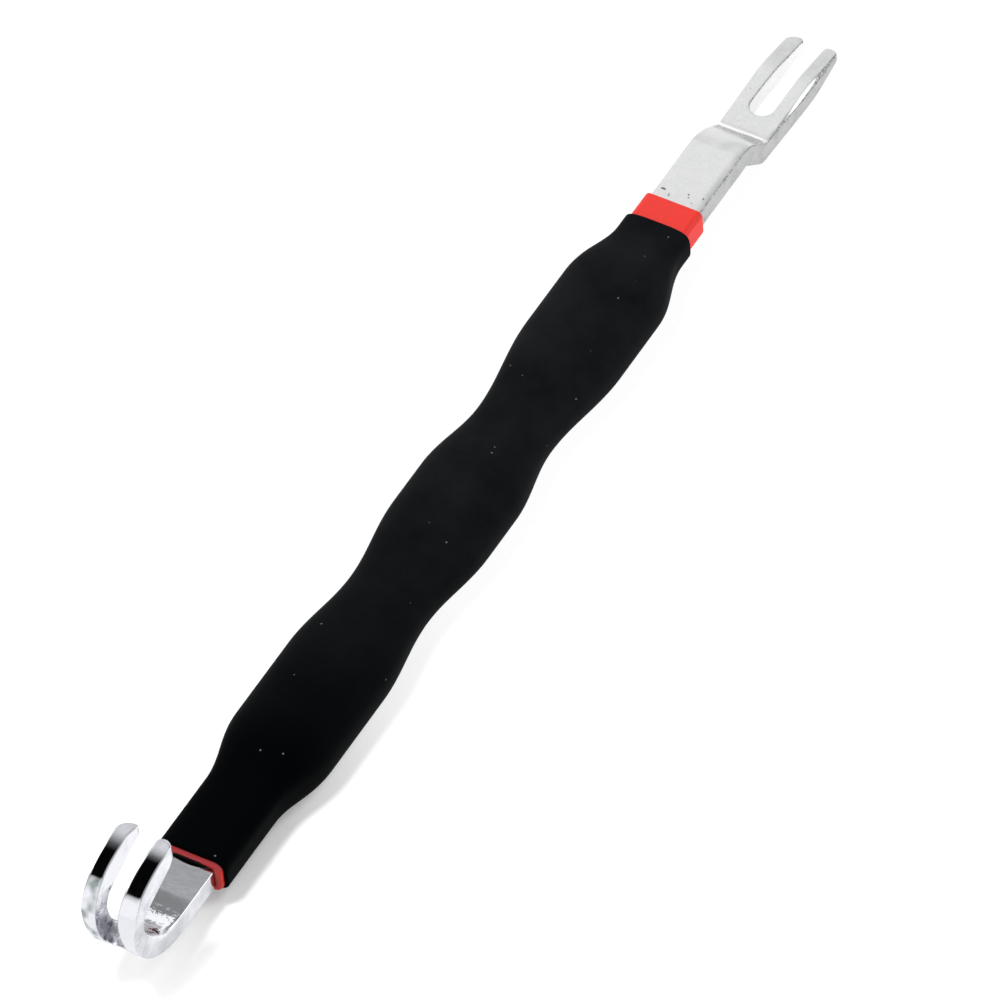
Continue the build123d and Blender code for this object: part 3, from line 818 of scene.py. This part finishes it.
def shapeBar(co):
    # the place in the finished bar of a point of the blank
    bar = steelBar
    x, y, depth = co
    tineWidth = bar["halfWidth"] - bar["hookSlot"]
    if x < -bar["hookStraight"]:
        thickness = (hookPoint(x, y, 0) - hookPoint(x, y, 1)).length
        # the edges inside the bend are dressed to a wide round
        along = -bar["hookStraight"] - x
        dressed = bar["bendDressing"] * smoothStep(-1.0, 6.0, along)
        dressed *= 1 - smoothStep(bendRun, bendRun + 6.0, along)
        drop = cornerCut(bar["halfWidth"] - abs(y), dressed) if dressed > 0.05 else 0.0
        side = drop / thickness + (1 - drop / thickness) * sideShare(depth, thickness)
        spot = hookPoint(x, y, side)
        # the far tine's tip is flared toward the slot
        if y > 0:
            flare = smoothStep(tineWidth, 0.0, x - hookEndX) * clamped((bar["halfWidth"] - y) / tineWidth)
            y -= bar["tipFlare"] * flare
            spot.x += bar["tipFlare"] * 0.8 * flare
        else:
            # the near tine is wider on the slot's side, most of all where its crown ends
            wide = 0.4 + 0.6 * smoothStep(hookEndX, hookEndX + 8.0, x)
            wide *= smoothStep(bar["wideningFrom"], bar["wideningTo"], x)
            y += bar["tineWidening"] * wide * clamped((bar["halfWidth"] + y) / tineWidth)
        width = bar["halfWidth"] + (bar["waistHalfWidth"] - bar["halfWidth"]) * smoothStep(
            bar["halfThickness"], bar["waistHeight"], spot.y)
        width += (bar["hookHalfWidth"] - bar["waistHalfWidth"]) * smoothStep(
            bar["waistHeight"], bar["spreadHeight"], spot.y)
        return Vector((spot.x, spreadAcross(y, bar["hookSlot"], width), spot.y))
    if x <= bar["neckEnd"]:
        width = bar["halfWidth"]
    elif x <= creaseX + bar["forkWidestAt"]:
        width = bar["halfWidth"] + (bar["forkHalfWidth"] - bar["halfWidth"]) * smoothStep(
            bar["neckEnd"], creaseX + bar["forkWidestAt"], x)
    else:
        part = (x - creaseX - bar["forkWidestAt"]) / (forkEndX - creaseX - bar["forkWidestAt"])
        width = bar["forkHalfWidth"] + (bar["forkTipHalfWidth"] - bar["forkHalfWidth"]) * part ** 1.5
    y = spreadAcross(y, bar["forkSlot"], width)
    # the near edge of the neck was ground by hand and is uneven
    uneven = 0.0
    if y < -3.0:
        uneven = smoothStep(bar["roughFrom"], bar["roughFrom"] + 2, x) * smoothStep(creaseX + 1, creaseX - 1, x)
    wave = noise.noise(Vector((0.45 * x, 3.0, 0.0))) + 0.5 * noise.noise(Vector((1.5 * x, 9.0, 0.0)))
    y += uneven * bar["edgeWave"] * wave * math.exp(-((abs(y) - 4.3) / 0.6) ** 2)
    if y > 0:
        # the far prong widens toward its tip on the slot's side
        share = clamped((width - y) / (width - bar["forkSlot"]))
        y -= bar["prongFlare"] * smoothStep(forkEndX - bar["prongFlareRun"], forkEndX + 1.0, x) * share
    top, floor = forkHeights(x, y)
    if x > creaseX:
        top -= max(0.0, abs(y) - bar["forkFlat"])
    top -= uneven * bar["edgeDrop"] * smoothStep(4.25, 5.0, abs(y))
    return Vector((x, y, top + (floor - top) * sideShare(depth, top - floor)))


def roundedWalls(bm):
    # walls round the flat blank: a quarter round, a straight side and a quarter round below
    rim = steelBar["rimRound"]
    edges = [edge for edge in bm.edges if edge.is_boundary]
    outward = {}
    for edge in edges:
        face = edge.link_faces[0]
        way = (edge.verts[1].co - edge.verts[0].co).cross(Vector((0, 0, 1))).normalized()
        if way.dot(face.calc_center_median() - edge.verts[0].co) > 0:
            way = -way
        for vert in edge.verts:
            outward[vert] = outward.get(vert, Vector()) + way
    outward = {vert: way.normalized() for vert, way in outward.items()}
    for item in bmesh.ops.duplicate(bm, geom=bm.faces[:])["geom"]:
        if isinstance(item, bmesh.types.BMVert):
            item.co.z = lowerFace
    turns = [math.radians(turn) for turn in (30, 60, 90)]
    layers = [(rim * math.sin(turn), -rim * (1 - math.cos(turn))) for turn in turns]
    layers += [(reach, lowerFace - depth) for reach, depth in reversed(layers)] + [(0.0, lowerFace)]
    home = {vert: vert.co.copy() for vert in outward}
    for reach, depth in layers:
        edges, behind = extrudeLoop(bm, edges)
        outward = {vert: outward[source] for vert, source in behind.items()}
        home = {vert: home[source] for vert, source in behind.items()}
        for vert in behind:
            vert.co = home[vert] + outward[vert] * reach
            vert.co.z = depth
    bmesh.ops.remove_doubles(bm, verts=bm.verts[:], dist=0.0005)


def makeSteelBar(material):
    bar = steelBar
    rim = bar["rimRound"]
    bm = bmesh.new()
    crownStart = hookEndX + bar["tineRun"]
    tipRound = max(map(max, bar["tineTipRounds"].values())) - rim
    hookPlaces = tipPlaces(hookEndX + rim, crownStart, tipRound, 0.5)
    hookPlaces += spaced(crownStart, crownStart + bar["crownRun"], 0.28)
    hookPlaces += spaced(crownStart + bar["crownRun"], hookRootX, 0.6)
    prongBand(bm, hookRootX, hookEndX + rim, bar["hookSlot"], hookPlaces, bar["tineTipRounds"])
    tipRound = max(map(max, bar["forkTipRounds"].values())) - rim
    forkPlaces = tipPlaces(forkEndX - rim, forkRootX, tipRound, 0.6)
    prongBand(bm, forkRootX, forkEndX - rim, bar["forkSlot"], forkPlaces, bar["forkTipRounds"])
    half = bar["halfWidth"] - rim
    start, end = hookRootX + half, forkRootX - half
    stations = spaced(start, -bar["hookStraight"], 0.6) + spaced(-bar["hookStraight"], 0, 1.5)
    # few faces inside the sleeve, and fine ones where the neck's edge is uneven and over the crank
    rough, crank = bar["roughFrom"], bar["neckEnd"] - bar["crankDrop"]
    stations += spaced(0, rough, 16.0) + spaced(rough, crank, 0.5) + spaced(crank, end, 0.2) + [end]
    across = [half / math.tan(math.radians(turn)) for turn in fanTurns if 45 <= turn <= 135]

    def placeOf(column, row):
        return Vector((stations[column], across[row], 0.0))

    lattice(bm, len(stations) - 1, len(across) - 1, placeOf)
    bmesh.ops.remove_doubles(bm, verts=bm.verts[:], dist=0.002)
    roundedWalls(bm)
    for vert in bm.verts:
        vert.co = shapeBar(vert.co) + drawingShift
    finishPiece("forgedBar", bm, material, "steel_bar")


# Red sleeve and black grip, with their lengths in mm

redSleeve = {
    "length": 176.8,
    "halfWidth": 6.05,
    "halfDepth": 3.05,
    "corner": 1.2,
    "holeHalfWidth": 5.24,
    "holeHalfDepth": 2.24,
    "holeCorner": 0.44,
    "cornerPoints": 8,
    "bead": 0.45,
    "beadFlatness": 0.25,
    "beadRun": (0.9, 1.6),
    "mouthLift": 0.5,
    "mouthDepth": 3.0,
    "mouthHalfWidth": 4.8,
    "rimRound": 0.22,
}


def boxCorner(number, count, halfWidth, halfDepth, corner):
    # point of a rounded rectangle: count points to each corner
    quarter, step = divmod(number, count)
    angle = math.pi / 2 * (quarter + step / (count - 1))
    acrossSign, upSign = ((1, 1), (-1, 1), (-1, -1), (1, -1))[quarter]
    return Vector((acrossSign * (halfWidth - corner) + corner * math.cos(angle),
                   upSign * (halfDepth - corner) + corner * math.sin(angle)))


def ringTube(bm, segments, rings, pointOf):
    # a closed shell: each ring is extruded from the one before, and the last meets the first
    circle = bmesh.ops.create_circle(bm, segments=segments, radius=1.0, cap_ends=False)["verts"]
    order = {vert: round(math.atan2(vert.co.y, vert.co.x) / (2 * math.pi) * segments) % segments for vert in circle}
    edges = list({edge for vert in circle for edge in vert.link_edges})
    firstEdges = edges
    for count, ring in enumerate(rings):
        if count:
            edges, behind = extrudeLoop(bm, edges)
            order = {vert: order[source] for vert, source in behind.items()}
        for vert, number in order.items():
            vert.co = pointOf(ring, number)
    bmesh.ops.bridge_loops(bm, edges=firstEdges + edges)


def makeRedSleeve(material):
    sleeve = redSleeve
    rim, length, count = sleeve["rimRound"], sleeve["length"], sleeve["cornerPoints"]
    hole = (sleeve["holeHalfWidth"], sleeve["holeHalfDepth"], sleeve["holeCorner"])

    def outside(inset):
        # the bead stands out sideways more than upwards
        upward = inset if inset > 0 else inset * sleeve["beadFlatness"]
        return sleeve["halfWidth"] - inset, sleeve["halfDepth"] - upward, sleeve["corner"] - inset

    bead, mouthDepth = sleeve["bead"], sleeve["mouthDepth"]
    beadTop, beadFoot = sleeve["beadRun"]
    rings = [(mouthDepth, hole), (mouthDepth / 2, hole), (0.0, hole)]
    for degrees in range(0, 91, 15):
        turn = math.radians(degrees)
        rings.append((bead * (1 - math.cos(turn)), outside(-bead * math.sin(turn))))
    rings += [(x, outside(-bead * smoothStep(beadFoot, beadTop, x))) for x in (0.7, 0.9, 1.1, 1.3, 1.6)]
    rings += [(x, outside(0.0)) for x in spaced(3.0, length - 8.0, 20.0) + spaced(length - 8.0, length - 1.0, 1.0)]
    rings += [(length - along, outside(inset)) for along, inset in quarterArc(rim)]
    rings += [(length, hole), (length - 0.5, hole)]

    def pointOf(ring, number):
        spot = boxCorner(number, count, *ring[1])
        # the mouth stands off the bar in the middle of its broad faces
        lift = sleeve["mouthLift"] * smoothStep(mouthDepth, 0.0, ring[0])
        lift *= max(0.0, 1 - (spot.x / sleeve["mouthHalfWidth"]) ** 2)
        return Vector((ring[0], spot.x, spot.y + math.copysign(lift, spot.y))) + drawingShift

    bm = bmesh.new()
    ringTube(bm, 4 * count, rings, pointOf)
    finishPiece("redSleeve", bm, material, "red_inner_sleeve")


# a section is its half width, its half depth and its squareness: 2 is an oval
blackGrip = {
    "start": 1.1,
    "end": 170.6,
    "hookEnd": (7.25, 4.1, 4.0),
    "forkEnd": (6.9, 3.8, 4.0),
    "swell": (10.3, 6.95, 2.4),
    "waists": [(70.8, (8.4, 5.5, 2.4)), (116.8, (8.05, 5.5, 2.4))],
    "swells": [(42.5, 9.2), (94.8, 5.0), (145.8, 7.0)],
    "hookEndRun": 16.7,
    "forkEndRun": 3.3,
    "ringStep": 1.0,
    "ringPoints": 96,
    "rimRound": 0.35,
    "wall": (6.09, 3.09, 1.24),
}


def gripKnots():
    grip = blackGrip
    knots = [(grip["start"], grip["hookEnd"]), (grip["start"] + grip["hookEndRun"], grip["hookEnd"])]
    for number, (middle, flat) in enumerate(grip["swells"]):
        knots += [(middle - flat, grip["swell"]), (middle + flat, grip["swell"])]
        if number < len(grip["waists"]):
            knots.append(grip["waists"][number])
    return knots + [(grip["end"] - grip["forkEndRun"], grip["forkEnd"]), (grip["end"], grip["forkEnd"])]


def gripSection(x, knots):
    for (before, low), (after, high) in zip(knots, knots[1:]):
        if x <= after + 1e-6:
            eased = (1 - math.cos(math.pi * (x - before) / (after - before))) / 2
            return [a + (b - a) * eased for a, b in zip(low, high)]
    return knots[-1][1]


def ovalPoint(angle, halfWidth, halfDepth, squareness):
    power = 2 / squareness
    across = math.copysign(abs(math.cos(angle)) ** power, math.cos(angle))
    up = math.copysign(abs(math.sin(angle)) ** power, math.sin(angle))
    return across * halfWidth, up * halfDepth


def boxPoint(angle, halfWidth, halfDepth, corner):
    # where a ray at an angle leaves a rounded rectangle
    way = Vector((math.cos(angle), math.sin(angle)))
    low, high = 0.0, halfWidth + halfDepth
    for _ in range(40):
        reach = (low + high) / 2
        spot = way * reach
        dx = max(0.0, abs(spot.x) - (halfWidth - corner))
        dy = max(0.0, abs(spot.y) - (halfDepth - corner))
        outside = math.hypot(dx, dy) > corner or abs(spot.x) > halfWidth or abs(spot.y) > halfDepth
        low, high = (low, reach) if outside else (reach, high)
    return way * low


def makeBlackGrip(material):
    grip = blackGrip
    knots = gripKnots()
    rim, start, end = grip["rimRound"], grip["start"], grip["end"]
    # each ring is a run along the grip, an inset, and a share of the way to the hole
    rounded = [(along, inset, 0.0) for along, inset in quarterArc(rim)]
    face = [(0.5, rim, 1.0), (0.0, rim, 1.0), (0.0, rim, 0.5)]
    rings = [(start + along, inset, share) for along, inset, share in face + rounded[::-1]]
    rings += [(x, 0.0, 0.0) for x in spaced(start + 1.0, end - 1.0, grip["ringStep"])]
    rings += [(end - along, inset, share) for along, inset, share in rounded + face[::-1]]
    count = grip["ringPoints"]

    def pointOf(ring, number):
        x, inset, share = ring
        halfWidth, halfDepth, squareness = gripSection(x, knots)
        spot = Vector(ovalPoint(2 * math.pi * number / count, halfWidth - inset, halfDepth - inset, squareness))
        if share:
            spot = spot.lerp(boxPoint(math.atan2(spot.y, spot.x), *grip["wall"]), share)
        return Vector((x, spot.x, spot.y)) + drawingShift

    bm = bmesh.new()
    ringTube(bm, count, rings, pointOf)
    finishPiece("blackGrip", bm, material, "black_outer_grip")


makeCamera()
makeStudio()
makeSteelBar(makePlatedSteel())
makeRedSleeve(makeRedVinyl())
makeBlackGrip(makeBlackRubber())
